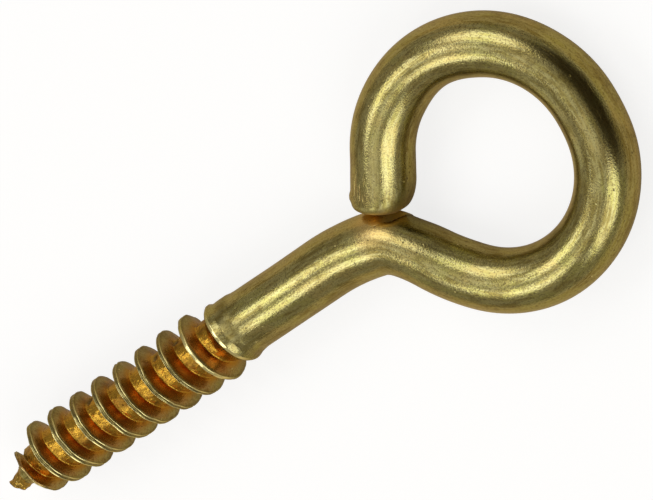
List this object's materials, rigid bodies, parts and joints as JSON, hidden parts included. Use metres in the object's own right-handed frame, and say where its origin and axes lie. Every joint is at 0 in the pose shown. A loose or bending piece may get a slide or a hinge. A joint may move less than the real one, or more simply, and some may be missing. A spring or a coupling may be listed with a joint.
{
  "type": "screw eye",
  "caption": "One-piece brass screw eye: a bent wire ring on a shank with a rolled wood-screw thread, driven into timber to hold a hook, cord or ring.",
  "frame": {"origin": "on the shank's axis, where the plain shank ends and the neck starts to bend, which is where the wood's face lies once the eye is screwed home", "axes": "+X from the shank toward the eye, so the point is at -X; the eye lies flat in XY with its free end on the +Y side; +Z is square to the eye"},
  "size_m": [0.0424, 0.0159, 0.0043],
  "materials": {
    "brass": "drawn and rolled brass, satin, with fine grain, small pits and hairline scratches"
  },
  "bodies": {
    "root": {"screw_eye": "brass"}
  },
  "joints": []
}
